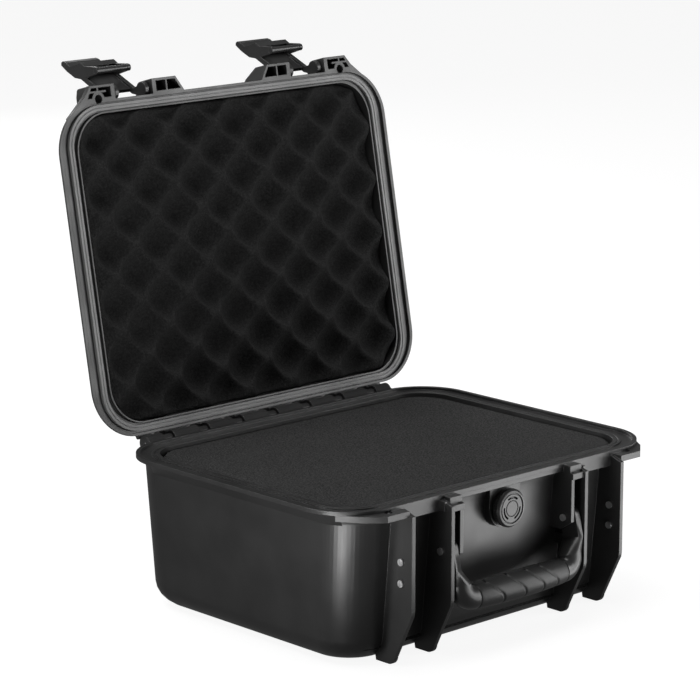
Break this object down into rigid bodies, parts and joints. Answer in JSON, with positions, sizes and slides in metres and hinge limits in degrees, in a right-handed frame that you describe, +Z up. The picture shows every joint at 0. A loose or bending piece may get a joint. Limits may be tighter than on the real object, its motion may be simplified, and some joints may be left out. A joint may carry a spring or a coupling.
{
  "type": "hard equipment case",
  "caption": "Rigid plastic equipment case with a hinged lid standing open, over-centre latches, a bail carrying handle, a pressure valve and foam in both halves.",
  "frame": {"origin": "middle of the underside, at the height of the tub's bottom", "axes": "+Z up, +X to the case's right as seen from the front, -Y towards the front with the handle and latches"},
  "size_m": [0.3402, 0.4076, 0.4028],
  "materials": {
    "shell": "moulded satin",
    "latch": "smooth moulded",
    "handle": "smooth moulded",
    "grip": "soft matt rubber",
    "gasket": "smooth rubber",
    "foam": "open-cell polyurethane foam",
    "pins": "drawn steel wire",
    "membrane": "breathable film"
  },
  "bodies": {
    "base": {"base_shell": "shell", "base_foam": "foam", "base_foam_pad": "foam", "hinge_pin": "pins", "rib_pins": "pins", "handle_pin_left": "pins", "handle_pin_right": "pins", "valve_body": "shell", "valve_oring": "gasket", "valve_nut": "latch", "valve_membrane": "membrane"},
    "lid": {"lid_shell": "shell", "lid_gasket": "gasket", "lid_foam": "foam", "latch_pin_left": "pins", "latch_pin_right": "pins"},
    "latch_left": {"latch_lever_left": "latch", "latch_bar_left": "latch"},
    "latch_right": {"latch_lever_right": "latch", "latch_bar_right": "latch"},
    "handle": {"handle_frame": "handle", "handle_grip": "grip"},
    "valve": {"valve_knob": "latch"}
  },
  "joints": [
    {"name": "lid_hinge", "type": "hinge", "parent": "base", "child": "lid", "pos_m": [0, 0.1365, 0.1192], "axis": [1, 0, 0], "range_deg": [0, 100.7]},
    {"name": "latch_left_hinge", "type": "hinge", "parent": "lid", "child": "latch_left", "pos_m": [-0.0907, 0.19739, 0.38329], "axis": [1, 0, 0], "range_deg": [0, 151]},
    {"name": "latch_right_hinge", "type": "hinge", "parent": "lid", "child": "latch_right", "pos_m": [0.0907, 0.19739, 0.38329], "axis": [1, 0, 0], "range_deg": [0, 151]},
    {"name": "handle_hinge", "type": "hinge", "parent": "base", "child": "handle", "pos_m": [0, -0.13, 0.0795], "axis": [-1, 0, 0], "range_deg": [0, 110]},
    {"name": "valve_turn", "type": "hinge", "parent": "base", "child": "valve", "pos_m": [0, -0.128, 0.098], "axis": [0, 1, 0], "range_deg": [0, 180]}
  ]
}
